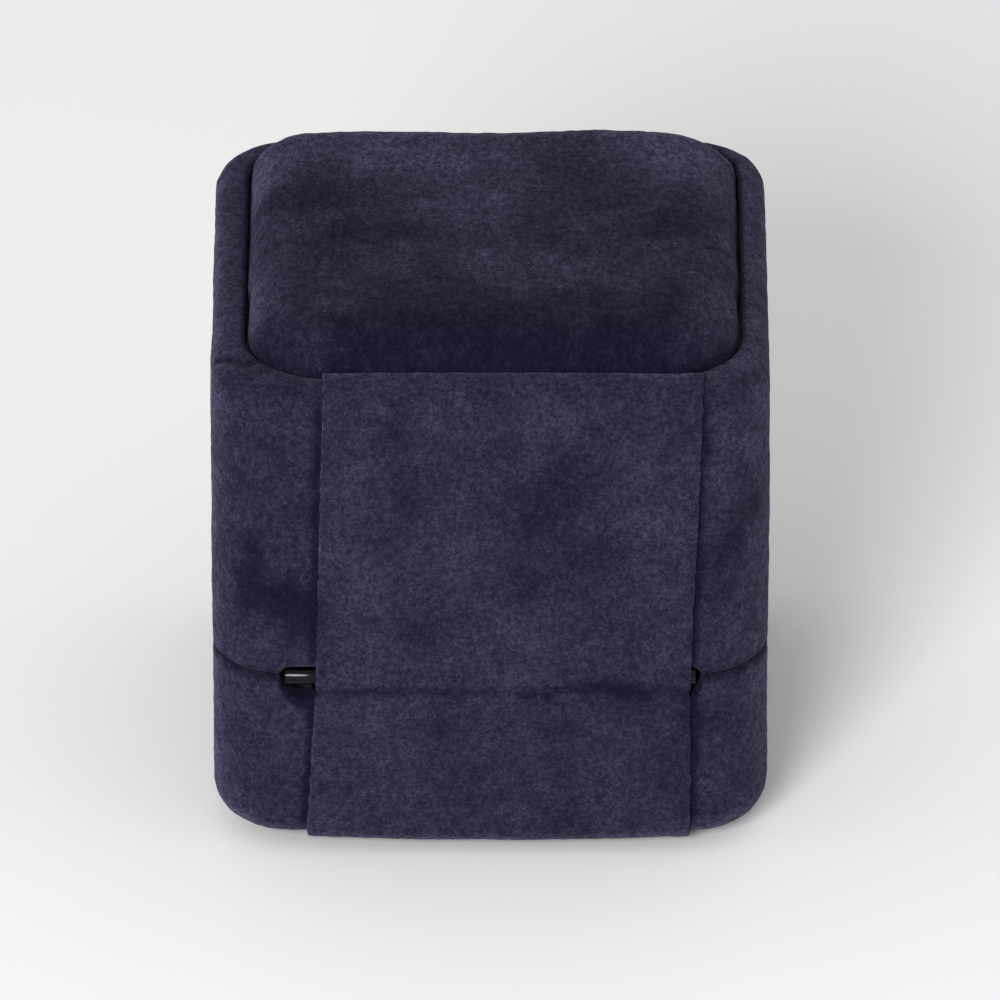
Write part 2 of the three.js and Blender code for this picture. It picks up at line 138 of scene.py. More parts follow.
# ---- random fields ----


def noise(points, size, seed):
    """Smooth random values from -1 to 1 at points, which change over about a size."""
    cell = points / size
    corner = np.floor(cell).astype(np.int64)
    part = cell - corner
    part = part * part * (3 - 2 * part)
    total = np.zeros(len(points))
    for step in np.ndindex(2, 2, 2):
        at = corner + step
        mixed = at[:, 0] * 73856093 ^ at[:, 1] * 19349663 ^ at[:, 2] * 83492791 ^ seed * 40503
        mixed = (mixed ^ mixed >> 13) * 1274126177
        mixed = (mixed ^ mixed >> 15) * 668265263
        value = (mixed >> 9 & 0xFFFF) / 0x7FFF - 1
        total += value * np.prod(np.where(step, part, 1 - part), axis=1)
    return total


def smooth(t):
    """Eases a ramp from 0 to 1."""
    t = np.clip(t, 0, 1)
    return t * t * (3 - 2 * t)


def to_segment(points, start, end):
    """Distance of points from a straight line between two others."""
    start, end = np.array(start, float), np.array(end, float)
    along = end - start
    t = np.clip((points - start) @ along / (along @ along), 0, 1)
    return np.linalg.norm(points - start - t[:, None] * along, axis=1)


# ---- meshes ----


def grid_faces(rows, columns, wrap_rows=False, wrap_columns=True):
    """Quads between the points of a grid, which may close on itself either way."""
    index = np.arange(rows * columns).reshape(rows, columns)
    if wrap_rows:
        index = np.vstack([index, index[:1]])
    if wrap_columns:
        index = np.hstack([index, index[:, :1]])
    corners = [index[:-1, :-1], index[:-1, 1:], index[1:, 1:], index[1:, :-1]]
    return np.stack(corners, axis=-1).reshape(-1, 4)


def point_normals(points, quads):
    """Outward normals at the points of a closed mesh of quads."""
    a, b, c, d = (points[quads[:, i]] for i in range(4))
    area = np.cross(c - a, d - b)
    normals = np.zeros_like(points)
    for i in range(4):
        np.add.at(normals, quads[:, i], area)
    length = np.linalg.norm(normals, axis=1, keepdims=True)
    return normals / np.maximum(length, 1e-9)


def volume(points, quads):
    """Six times the volume inside quads: negative where they face in."""
    a, b, c, d = (points[quads[:, i]] for i in range(4))
    return (np.cross(a, b) * c).sum() + (np.cross(a, c) * d).sum()


def outwards(points, quads, caps=()):
    """The faces, turned so that the mesh they close faces out."""
    if volume(points, quads) > 0:
        return quads, list(caps)
    return quads[:, ::-1], [cap[::-1] for cap in caps]


def make(name, points, quads, material, body=None, caps=(), nap_and_shade=None):
    """A smooth mesh in metres, riding a body. caps are faces with any number of corners.

    The last argument is how the pile lies at each point, with the shade painted into it, for the velvet to
    read.
    """
    mesh = bpy.data.meshes.new(name)
    mesh.from_pydata((points * MM).tolist(), [], quads.tolist() + [list(c) for c in caps])
    mesh.polygons.foreach_set("use_smooth", np.ones(len(mesh.polygons), bool))
    if nap_and_shade is not None:
        stored = mesh.attributes.new("nap_and_shade", "FLOAT", "POINT")
        stored.data.foreach_set("value", nap_and_shade.astype(np.float32))
    mesh.update()
    mesh.materials.append(material)
    piece = bpy.data.objects.new(name, mesh)
    bpy.context.scene.collection.objects.link(piece)
    if body:
        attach(piece, body)
    return piece


# ---- velvet: how its pile lies, and its relief ----

# Places where the pile is brushed the other way: x, y, z, radius, and how much lighter or darker. They are
# listed one by one, those on the back first and then those on the panel.
TOP = RIM + 3  # near the panel's crown
BRUSHED = [
    (8.2, BACK, 43.0, 1.6, -0.5),
    (7.0, BACK, 46.0, 2.0, -0.3),
    (6.4, BACK, 37.4, 2.8, -0.25),
    (8.6, BACK, 36.0, 2.2, -0.2),
    (8.1, BACK, 31.5, 1.5, -0.25),
    (-6.5, BACK, 36.5, 4.0, -0.5),
    (-8.0, BACK, 39.5, 2.6, -0.35),
    (-3.6, BACK, 34.0, 3.4, -0.2),
    (-8.6, BACK, 30.5, 2.6, -0.4),
    (-3.2, BACK, 28.0, 2.3, -0.3),
    (-1.0, BACK, 38.5, 3.0, -0.25),
    (6.3, BACK, 23.2, 2.0, -0.5),
    (3.0, BACK, 31.5, 3.0, 0.3),
    (12.0, BACK, 29.0, 3.6, 0.35),
    (10.5, BACK, 21.5, 3.4, 0.35),
    (-15.5, BACK, 33.5, 3.4, 0.3),
    (-13.0, BACK, 38.5, 3.0, 0.2),
    (-3.0, BACK, 22.5, 3.0, 0.2),
    (-6.4, BACK, 13.0, 1.6, -0.4),
    (-6.8, BACK, 8.5, 1.5, -0.4),
    (-7.2, BACK, 4.2, 1.8, -0.4),
    (4.3, BACK, 13.5, 1.8, -0.35),
    (4.8, BACK, 9.5, 1.8, -0.25),
    (-12.5, BACK, 16.2, 2.2, -0.35),
    (10.0, BACK, 13.0, 3.0, 0.2),
    (-10.0, BACK, 10.0, 2.4, 0.2),
    (21.2, BACK - 1.2, 27.6, 2.8, -0.7),
    (18.2, BACK, 26.0, 2.6, -0.6),
    (17.0, BACK, 23.8, 2.4, -0.45),
    (21.8, BACK - 1.5, 24.4, 1.8, -0.5),
    (21.0, BACK - 1.0, 31.5, 2.0, -0.45),
    (16.4, BACK, 35.0, 1.4, -0.4),
    (17.5, BACK, 40.5, 3.0, -0.2),
    (20.0, BACK - 0.6, 21.0, 2.2, 0.25),
    (-23.4, BACK - 3.0, 34.6, 2.0, -0.6),
    (-21.0, BACK - 1.0, 28.5, 2.8, -0.45),
    (-21.3, BACK - 1.0, 31.5, 1.8, -0.3),
    (-21.5, BACK - 1.0, 43.0, 3.0, 0.25),
    (-19.2, BACK, 14.0, 1.8, -0.4),
    (-22.8, BACK - 2.5, 7.5, 1.6, -0.35),
    (15.0, -9.0, TOP, 4.2, -0.27),
    (17.2, -4.2, TOP, 3.2, -0.23),
    (9.5, -8.0, TOP, 3.8, -0.21),
    (11.5, 3.0, TOP, 4.2, -0.19),
    (7.0, 0.5, TOP, 3.2, -0.17),
    (15.5, 1.0, TOP, 3.0, -0.17),
    (-7.0, -12.0, TOP, 3.8, -0.21),
    (-9.0, -6.5, TOP, 3.5, -0.19),
    (-5.0, 2.0, TOP, 3.8, -0.23),
    (-12.0, 0.0, TOP, 3.8, -0.15),
    (-17.5, -1.0, TOP, 3.2, -0.13),
    (4.0, 10.0, TOP, 3.0, -0.17),
    (-1.5, -4.5, TOP, 3.2, 0.13),
    (3.5, -3.5, TOP, 2.8, 0.10),
    (2.0, -13.0, TOP, 4.2, 0.15),
    (11.0, -14.0, TOP, 5.0, 0.15),
    (-19.0, -14.0, TOP, 5.0, 0.29),
    (-14.0, -14.5, TOP, 4.2, 0.15),
    (19.6, 6.0, TOP, 3.2, 0.19),
    (20.2, -12.0, TOP, 3.8, 0.13),
    (-20.5, 12.0, TOP, 3.8, 0.25),
    (-19.0, 17.0, TOP, 3.2, 0.15),
    (-8.0, 8.0, TOP, 3.8, 0.08),
]


def brushed(points):
    """How light the pile looks at each point: 0.5 is even, 0 darkest and 1 lightest."""
    value = 0.5 + 0.12 * noise(points, 5.5, 11) + 0.1 * noise(points, 2.6, 12)
    value += 0.07 * noise(points, 1.2, 13)
    ragged = 1 + 0.35 * noise(points, 2.0, 14) + 0.2 * noise(points, 0.9, 15)
    for x, y, z, radius, amount in BRUSHED:
        away = np.linalg.norm(points - (x, y, z), axis=1) / radius / ragged
        value += 0.65 * amount * np.exp(-(away**2))
    return np.clip(value, 0, 1)


def pile_relief(points):
    """The velvet's unevenness: soft swells, tufts and the pile's tips."""
    swell = 0.06 * noise(points, 7, 1) + 0.035 * noise(points, 3, 2)
    tufts = 0.035 * noise(points, 1.3, 3) + 0.03 * noise(points, 0.8, 4)
    tips = 0.03 * noise(points, 0.53, 5)
    return swell + tufts + tips - 0.05


def velvet_piece(
    name, points, quads, material, body, weight=1.0, creases=(), caps=(), grain=(1, 1, 1), tone=0.0
):
    """A piece of velvet: relief pushed along the normals, creases pressed in, and the pile's lie stored with
    the shade painted into it.

    weight says how much relief each point gets. A crease is its start, end, width, depth and how much
    painted shade darkens the pile in it. grain squeezes the relief along each axis, and tone lightens or
    darkens each point, mostly as painted shade.
    """
    quads, caps = outwards(points, quads, caps)
    amount = pile_relief(points * grain) * weight
    nap_and_shade = brushed(points) + tone
    wander = 0.3 * np.stack([noise(points, 1.1, seed) for seed in (21, 22, 23)], axis=1)
    # Creases are pressed in, and painted shade darkens the pile in them.
    for start, end, width, depth, darker in creases:
        away = to_segment(points + wander, start, end) / width
        pressed = np.exp(-(away**2))
        amount -= depth * pressed
        nap_and_shade -= darker * pressed
    raised = points + point_normals(points, quads) * amount[:, None]
    return make(name, raised, quads, material, body, caps, np.clip(nap_and_shade, 0, 1))


# ---- outlines ----


def line(start, end, step):
    """Points from start towards end, without the end."""
    start, end = np.array(start, float), np.array(end, float)
    count = max(1, round(np.linalg.norm(end - start) / step))
    return start + (end - start) * np.arange(count)[:, None] / count


def arc(centre, radius, start, end, step):
    """Points of an arc from one angle to another, in degrees, without the end."""
    count = max(3, round(radius * math.radians(abs(end - start)) / step))
    angle = np.radians(start + (end - start) * np.arange(count) / count)
    return np.array(centre, float) + radius * np.stack([np.cos(angle), np.sin(angle)], axis=1)


def plan_stations(step, corner=CORNER):
    """Points of the plan's core and the direction outwards at each, round the box."""
    core, out = [], []
    reach = HALF - corner
    centres = np.array([(1, 1), (-1, 1), (-1, -1), (1, -1)]) * reach
    for k in range(4):
        turned = arc((0, 0), 1, 90 * k, 90 * (k + 1), step / corner)
        core.append(np.repeat(centres[k][None], len(turned), axis=0))
        out.append(turned)
        side = line(centres[k], centres[(k + 1) % 4], step)
        ahead = math.radians(90 * (k + 1))
        core.append(side)
        out.append(np.repeat([[math.cos(ahead), math.sin(ahead)]], len(side), axis=0))
    return np.vstack(core), np.vstack(out)


def sweep(section, step=PILE_STEP):
    """Carries a section of (u, z) round the plan.

    Returns the points and the quads of the closed ring, and each point's u and direction outwards.
    """
    core, out = plan_stations(step)
    count = len(core)
    rows = [np.hstack([core + out * (CORNER + u), np.full((count, 1), z)]) for u, z in section]
    points = np.vstack(rows) + (0, CENTRE_Y, 0)
    quads = grid_faces(len(section), count, wrap_rows=True)
    return points, quads, np.repeat(section[:, 0], count), np.tile(out, (len(section), 1))


def notch(points, depth, run):
    """How far a wall's edge draws back to clear the hinge, rounded over a run at each end."""
    t = np.clip((NOTCH_END - np.abs(points[:, 0])) / run, 0, 1)
    return depth * np.sqrt(1 - (1 - t) ** 2) * (points[:, 1] > 0)


# ---- walls ----


def base_wrap(material):
    """The base's velvet: out from under the box, up the walls, over their edge and down inside."""
    foot = FOOT + FOOT_ROUND
    top = SEAM - SEAM_GAP / 2
    bend = top - SEAM_ROUND
    end = top - TURN_HEIGHT
    under = top - SKIN
    inner = -TURN
    section = np.vstack(
        [
            line((-FOLD_UNDER, FOOT), (-FOOT_ROUND, FOOT), 0.6),
            arc((-FOOT_ROUND, foot), FOOT_ROUND, -90, 0, PILE_STEP),
            line((0, foot), (0, bend), PILE_STEP),
            arc((-SEAM_ROUND, bend), SEAM_ROUND, 0, 90, EDGE_STEP),
            line((-SEAM_ROUND, top), (inner + SEAM_ROUND, top), PILE_STEP),
            arc((inner + SEAM_ROUND, bend), SEAM_ROUND, 90, 180, EDGE_STEP),
            line((inner, bend), (inner, end), INNER_STEP),
            line((inner, end), (inner + SKIN, end), HIDDEN_STEP),
            line((inner + SKIN, end), (inner + SKIN, under), HIDDEN_STEP),
            line((inner + SKIN, under), (-SKIN, under), HIDDEN_STEP),
            line((-SKIN, under), (-SKIN, foot), HIDDEN_STEP),
            arc((-FOOT_ROUND, foot), FOOT_ROUND - SKIN, 0, -90, 1),
            line((-FOOT_ROUND, FOOT + SKIN), (-FOLD_UNDER, FOOT + SKIN), HIDDEN_STEP),
        ]
    )
    points, quads, u, _ = sweep(section)
    near_edge = smooth((points[:, 2] - top + 5.4) / 2.6)
    lowered = notch(points, *BASE_NOTCH)
    edge_z = top - lowered
    points[:, 2] -= lowered * near_edge
    creases = beside_strip(FOOT + 2, SEAM - 2.5)
    # The pile is painted with shade: darker at the edge and darker still in the notch. It is also a little
    # lighter at the -X end.
    height = points[:, 2] - edge_z + 0.25 * noise(points, 1.0, 35)
    tone = -0.3 * smooth(height + 1) - 0.7 * smooth((height + 1.4) / 1.2) * smooth(lowered)
    tone += 0.07 * smooth((-points[:, 0] - 15) / 4)
    weight = shown(points, u)
    return velvet_piece(
        "base_velvet_wrap", points, quads, material, "base", weight, creases, tone=tone
    )


def inside_round(radius, u, height):
    """How far a point is inside an edge rounded to a radius, height below the face that ends there."""
    return radius - np.hypot(np.maximum(u + radius, 0), np.maximum(radius - height, 0))


def shown(points, u):
    """Relief on the faces of a wall that show, and none on those glued to its shell."""
    z = points[:, 2]
    inside = np.minimum(inside_round(FOOT_ROUND, u, z - FOOT), inside_round(RIM_ROUND, u, RIM - z))
    glued = (inside > SKIN / 2) & (u > SKIN / 2 - TURN)
    at_seam = np.abs(z - SEAM) < 0.3
    return np.where(at_seam, 0.8, np.where(glued, 0.0, 1.0))


def beside_strip(low, high):
    """Creases in a wall along the strip's cut edges, with painted shade darkening the pile beside the strip.
    """
    rows = []
    for side in (1, -1):
        start, end = [(edge_x(z, side) + 0.45 * side, BACK, z) for z in (low, high)]
        rows.append((start, end, 0.42, 0.16, 0.55))
    return rows


def corner_cut(points, u, out):
    """How far the rim's inner side moves in for its corners to have the panel's radius."""
    at = np.abs(points[:, :2] - (0, CENTRE_Y) - out * (u + RIM_TURN)[:, None])
    corner = np.where(points[:, 1] > CENTRE_Y, *PAD_CORNERS)
    beyond = at - (HALF - RIM_TURN - corner)[:, None]
    along = (beyond * np.abs(out)).sum(axis=1)
    root = np.sqrt(np.maximum(along**2 - (beyond**2).sum(axis=1) + corner**2, 0))
    return np.where((beyond > 0).all(axis=1), np.maximum(along - root, 0), 0)


def lid_wrap(material):
    """The lid's velvet: from inside over the seam's edge, up the walls, over the rim and into the groove."""
    bottom = SEAM + SEAM_GAP / 2
    bend = bottom + SEAM_ROUND
    end = bottom + TURN_HEIGHT
    over = bottom + SKIN
    rim = RIM - RIM_ROUND
    lip = RIM - RIM_INNER
    inner = -TURN
    outer = line((0, bend), (0, rim), LID_STEP)
    middle = (outer[:, 1] - bottom) / (RIM - bottom) * 2 - 1
    outer[:, 0] += WALL_BULGE * (1 - middle**2)
    section = np.vstack(
        [
            line((inner, end), (inner, bend), INNER_STEP),
            arc((inner + SEAM_ROUND, bend), SEAM_ROUND, 180, 270, EDGE_STEP),
            line((inner + SEAM_ROUND, bottom), (-SEAM_ROUND, bottom), LID_STEP),
            arc((-SEAM_ROUND, bend), SEAM_ROUND, 270, 360, EDGE_STEP),
            outer,
            arc((-RIM_ROUND, rim), RIM_ROUND, 0, 90, RIM_STEP),
            line((-RIM_ROUND, RIM), (-RIM_TURN + RIM_INNER, RIM), RIM_STEP),
            arc((-RIM_TURN + RIM_INNER, lip), RIM_INNER, 90, 180, EDGE_STEP),
            line((-RIM_TURN, lip), (-RIM_TURN, RECESS), 0.3),
            line((-RIM_TURN, RECESS), (inner + SKIN, RECESS), HIDDEN_STEP),
            line((inner + SKIN, RECESS), (inner + SKIN, RIM - SKIN), HIDDEN_STEP),
            line((inner + SKIN, RIM - SKIN), (-RIM_ROUND, RIM - SKIN), HIDDEN_STEP),
            arc((-RIM_ROUND, rim), RIM_ROUND - SKIN, 90, 0, 0.5),
            line((-SKIN, rim), (-SKIN, over), HIDDEN_STEP),
            line((-SKIN, over), (inner + SKIN, over), HIDDEN_STEP),
            line((inner + SKIN, over), (inner + SKIN, end), HIDDEN_STEP),
        ]
    )
    points, quads, u, out = sweep(section, LID_STEP)
    near_edge = smooth((bottom + 4 - points[:, 2]) / 3.4)
    points[:, 2] += notch(points, *LID_NOTCH) * near_edge
    # The rim's inner side follows the panel, which sits a little off centre and has rounder corners.
    beside_pad = smooth((-u - 1.4) / 1.2) * (points[:, 2] > RECESS - 0.1)
    points[:, :2] -= out * (corner_cut(points, u, out) * beside_pad)[:, None]
    points[:, 0] += (pad_low[0] + pad_high[0]) / 2 * beside_pad
    # Creases at two of the rim's corners and beside the strip, with painted shade in them.
    creases = [
        ((24.5, 17.4, RIM - 0.6), (21.4, 19.4, RIM), 0.5, 0.3, 0.35),
        ((-24.4, 4.5, RIM - 0.8), (-22.8, 3.6, RIM), 0.4, 0.15, 0.2),
    ]
    creases += beside_strip(SEAM + 1.5, RIM - 0.5)
    # The pile is painted with shade: darkest in the groove, darker at the seam and a little darker on the
    # rim.
    # It is also a little darker at +X.
    groove = smooth((-u - 2.2) / 0.6) * (points[:, 2] > RECESS)
    seam_shade = smooth((bottom + 1 - points[:, 2] + 0.25 * noise(points, 1.0, 35)) / 0.9)
    rim_shade = smooth((points[:, 2] - RIM + 2) / 2)
    tone = -0.55 * groove - 0.35 * seam_shade - rim_shade * (0.05 + 0.1 * smooth(points[:, 0] / 5))
    tone -= 0.06 * smooth((points[:, 0] - 15) / 4)
    weight = shown(points, u)
    return velvet_piece("lid_velvet_wrap", points, quads, material, "lid", weight, creases, tone=tone)


# ---- padded pieces ----


def rounded_grid(half_x, half_y, corner, step):
    """A grid over a rectangle whose corners are drawn in to arcs. Returns (rows, columns, 2) points.

    corner is one radius, or the radius at +Y and the radius at -Y. The points crowd towards the edges.
    """
    columns, rows = [np.linspace(-1, 1, round(2 * half / step) + 1) for half in (half_x, half_y)]
    columns, rows = [t * (1.12 - 0.12 * t * t) for t in (columns, rows)]
    x, y = np.meshgrid(columns * half_x, rows * half_y)
    corner = np.where(y > 0, *np.broadcast_to(corner, 2))
    over_x = (np.abs(x) - half_x + corner) / corner
    over_y = (np.abs(y) - half_y + corner) / corner
    reach = np.maximum(over_x, over_y)
    low = np.minimum(over_x, over_y)
    inside = low > 0
    turn = np.where(inside, low / np.maximum(reach, 1e-9), 0) * math.pi / 4
    turn = np.where(over_x > over_y, turn, math.pi / 2 - turn)
    curved_x = half_x - corner + corner * reach * np.cos(turn)
    curved_y = half_y - corner + corner * reach * np.sin(turn)
    x = np.where(inside, np.sign(x) * curved_x, x)
    y = np.where(inside, np.sign(y) * curved_y, y)
    return np.stack([x, y], axis=-1)


def pillow(half_x, half_y, corner, floor, edge_z, crown, slopes, step):
    """A padded form on a flat board: upright sides from floor to edge_z, then rounded to crown.

    slopes are the widths over which it rounds at -X, +X, -Y and +Y. It is centred at 0. Returns its points,
    its quads and the face under it.
    """
    flat = rounded_grid(half_x, half_y, corner, step)
    rows, columns = flat.shape[:2]
    x, y = flat[..., 0], flat[..., 1]
    away = [half_x + x, half_x - x, half_y + y, half_y - y]
    drop = sum(np.clip(1 - a / s, 0, 1) ** 2 for a, s in zip(away, slopes))
    drop = np.minimum(drop, 1)
    drop[[0, -1]] = 1
    drop[:, [0, -1]] = 1
    top = edge_z + (crown - edge_z) * np.sqrt(1 - drop)
    points = np.dstack([x, y, top]).reshape(-1, 3)
    index = np.arange(rows * columns).reshape(rows, columns)
    rim = np.concatenate([index[0, :-1], index[:-1, -1], index[-1, :0:-1], index[:0:-1, 0]])
    levels = line((floor, 0), (edge_z, 0), 0.3)[:, 0]
    skirt = [np.column_stack([points[rim, :2], np.full(len(rim), z)]) for z in levels]
    first = len(points)
    rings = [first + k * len(rim) + np.arange(len(rim)) for k in range(len(levels))] + [rim]
    quads = [grid_faces(rows, columns, wrap_columns=False)]
    for low, high in zip(rings, rings[1:]):
        quads.append(np.stack([low, np.roll(low, -1), np.roll(high, -1), high], axis=-1))
    under = rings[0][::-1]
    return np.vstack([points, *skirt]), np.vstack(quads), under


def pad_shape():
    """The puffy panel's points, quads and underside: fuller at the shoulders, with uneven corners."""
    half_x, half_y = PAD_HALF
    crown = pad_high[2] - 0.1
    points, quads, under = pillow(
        half_x, half_y, PAD_CORNERS, RECESS + 0.05, PAD_EDGE, crown, PAD_SLOPES, PILE_STEP
    )
    lift = np.clip((points[:, 2] - PAD_EDGE) / 2, 0, 1)
    x, y = points[:, 0] / half_x, points[:, 1] / half_y
    shoulders = 0.1 * np.exp(-(((np.abs(x) - 0.45) / 0.25) ** 2)) - 0.2 * np.exp(-((x / 0.22) ** 2))
    points[:, 2] += lift * shoulders * smooth((-0.2 - y) / 0.6)
    points[:, 2] += lift * 0.22 * noise(points * (1, 1, 0), 9, 31)
    # The corner at -X and +Y is pinched in, the two far corners are lower, and the sides wander a little.
    pinch = smooth((-x - 0.72) / 0.28) * smooth((y - 0.72) / 0.28)
    points[:, 0] += 0.6 * pinch
    points[:, 1] -= 0.6 * pinch
    far = smooth((-y - 0.3) / 0.6)
    points[:, 2] -= lift * far * (0.55 * smooth((-x - 0.5) / 0.5) + 0.45 * smooth((x - 0.6) / 0.4))
    side = np.sign(x) * smooth((np.abs(x) - 0.9) / 0.1)
    points[:, 0] -= 0.12 * side * (1 + noise(points * (0, 1, 0), 4, 32))
    middle = (pad_low + pad_high) / 2
    return points + (middle[0], middle[1], 0), quads, under


def pad_painted_shade(points):
    """Painted light and shade: the panel's slope that faces the back is darkest, with a ragged edge, and its
    far side lightest.
    """
    x, y = points[:, 0], points[:, 1]
    ragged = 1.6 * noise(points, 4.5, 33) + 0.8 * noise(points, 1.7, 34)
    facing_slope_shade = smooth((y - 9.5 + ragged) / 5) * smooth((19.5 - np.abs(x + 0.8) + ragged) / 6)
    facing_slope_shade *= 1 + 0.4 * smooth((y - 18) / 3)
    groove = smooth((RIM + 0.9 - points[:, 2]) / 1.2)
    # Painted shade over the whole panel, deeper at its foot by the groove, and painted light on its far
    # side.
    return 0.2 * smooth((-y - 3) / 12) - 0.28 - 0.2 * facing_slope_shade - 0.4 * groove


def top_pad(material):
    """The puffy panel in the lid's top."""
    points, quads, under = pad_shape()
    # Creases at the panel's sides, with painted shade in them.
    creases = [
        ((-21.8, 1.5, RIM + 1.4), (-19.6, 2.6, RIM + 3), 0.35, 0.2, 0.2),
        ((20.9, 3.5, RIM + 1.4), (18.9, 2.8, RIM + 3), 0.4, 0.12, 0.15),
    ]
    piece = velvet_piece(
        "top_pad_puffed",
        points,
        quads,
        material,
        "lid",
        creases=creases,
        caps=[under],
        grain=PAD_GRAIN,
        tone=pad_painted_shade(points),
    )
    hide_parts("top_pad_velvet", "top_pad_foam")
    return piece


# ---- strip over the hinge ----


def edge_x(z, side):
    """Where the strip's cut edge lies at a height. side is +1 or -1."""
    return np.interp(z, STRIP_HEIGHTS, STRIP_EDGES[side])


def strip_path():
    """The strip's outer face from the groove round the panel to its tail under the base, as (y, z)."""
    over = STRIP + 0.05
    tuck = BACK - RIM_TURN - 0.25
    tuck_round = 0.7
    rim, foot = RIM - RIM_ROUND, FOOT + FOOT_ROUND
    path = np.vstack(
        [
            line((tuck, RIM - 1.0), (tuck, RIM + over - 0.5), 0.2),
            arc((tuck + tuck_round, RIM + over - tuck_round), tuck_round, 180, 90, 0.15),
            line((tuck + tuck_round, RIM + over), (BACK - RIM_ROUND, RIM + over), 0.2),
            arc((BACK - RIM_ROUND, rim), RIM_ROUND + over, 90, 0, 0.2),
            line((BACK + over, rim), (BACK + over, foot), 0.25),
            arc((BACK - FOOT_ROUND, foot), FOOT_ROUND + over, 0, -90, 0.25),
            line((BACK - FOOT_ROUND, FOOT - over), (BACK - STRIP_TAIL, FOOT - over), 0.3),
            [(BACK - STRIP_TAIL, FOOT - over)],
        ]
    )
    at_hinge = np.exp(-(((path[:, 1] - SEAM) / 2.2) ** 2)) * (path[:, 0] > BACK)
    path[:, 0] += 0.1 * at_hinge
    return path


def strip_loop():
    """Points round the strip: place across from -1 to 1, depth from the outer face at 0 to 1, overhang."""
    across = np.concatenate([line((-1, 0), (1, 0), 2 * PILE_STEP / STRIP_WIDTH)[:, 0], [1]])
    inner = np.linspace(1, -1, 20)
    turn = np.linspace(0, math.pi, 7)[1:-1]
    overhang = 0.22 * np.sin(turn)
    ones = np.ones(len(turn))
    return np.vstack(
        [
            np.column_stack([across, np.zeros((len(across), 2))]),
            np.column_stack([ones, (1 - np.cos(turn)) / 2, overhang]),
            np.column_stack([inner, np.ones(len(inner)), np.zeros(len(inner))]),
            np.column_stack([-ones, (1 + np.cos(turn)) / 2, -overhang]),
        ]
    )


def strip_shape(path, loop):
    """The strip's points: its loop carried along its path, thinner over the hinge, with ragged edges."""
    ahead = np.gradient(path, axis=0)
    ahead /= np.linalg.norm(ahead, axis=1, keepdims=True)
    out_y, out_z = -ahead[:, 1][:, None], ahead[:, 0][:, None]
    thick = np.where(np.abs(path[:, 1] - SEAM) < 2, STRIP_THIN, STRIP)
    thick = np.convolve(np.pad(thick, 6, mode="edge"), np.ones(13) / 13, mode="valid")
    w, depth, overhang = loop.T
    left, right = edge_x(path[:, 1], 1), edge_x(path[:, 1], -1)
    x = (left + right)[:, None] / 2 + (left - right)[:, None] / 2 * w + overhang
    # Where it turns in under the base it stands off a little in the middle.
    at_foot = np.exp(-(((path[:, 1] - FOOT - 0.9) / 1.3) ** 2)) * (path[:, 0] > BACK - FOOT_ROUND)
    bow = 0.55 * at_foot[:, None] * (1 - w**2) * (1 - depth)
    below = thick[:, None] * depth - bow
    y = path[:, 0][:, None] - out_y * below
    z = path[:, 1][:, None] - out_z * below
    points = np.dstack([x, y, z]).reshape(-1, 3)
    w = np.tile(w, len(path))
    edge = smooth((np.abs(w) - 0.94) / 0.06)
    ragged = 0.1 * noise(points * (0, 1, 1), 0.7, 41) + 0.06 * noise(points * (0, 1, 1), 0.35, 42)
    points[:, 0] += np.sign(w) * edge * ragged
    return points


def hinge_strip(material):
    """The strip of velvet glued over the hinge, thinner where it crosses it."""
    path, loop = strip_path(), strip_loop()
    points = strip_shape(path, loop)
    quads = grid_faces(len(path), len(loop))
    first = np.arange(len(loop))
    last = len(points) - len(loop) + first
    back, fold = BACK + 0.6, SEAM - 1.2
    # Creases where the strip folds by the seam, with painted shade in them.
    creases = [
        ((15.6, back, fold), (5, back, fold + 0.1), 0.4, 0.2, 0.4),
        ((5, back, fold + 0.1), (-3, back, fold - 0.1), 0.4, 0.24, 0.4),
        ((-3, back, fold - 0.1), (-9, back, fold + 0.5), 0.5, 0.22, 0.45),
        ((-9, back, fold + 0.5), (-17.8, back, fold), 0.6, 0.12, 0.3),
        ((-3.5, back, fold), (-6.5, back, fold - 1.3), 0.5, 0.12, 0.35),
        ((4.5, back, fold), (3.0, back, fold - 1.0), 0.4, 0.1, 0.3),
        ((10, back, fold), (8.4, back, fold - 0.6), 0.35, 0.08, 0.2),
        ((-11, back, fold + 0.3), (-14, back, fold - 0.6), 0.6, 0.1, 0.3),
    ]
    weight = np.where(np.tile(loop[:, 1], len(path)) > 0.5, 0.0, 1.0)
    piece = velvet_piece(
        "hinge_strip_velvet", points, quads, material, None, weight, creases, [first, last[::-1]]
    )
    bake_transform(piece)
    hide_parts("hinge_strip_lower", "hinge_strip_upper")
    return piece


# ---- inside ----


def half_sizes(low, high):
    """Half the width and depth of a soft piece that fills a box, with a little room round it."""
    return (high[0] - low[0]) / 2 - SOFT_ROOM, (high[1] - low[1]) / 2 - SOFT_ROOM


def middle_at(low, high, z):
    """The middle of a box in plan, at a height."""
    return (low[0] + high[0]) / 2, (low[1] + high[1]) / 2, z


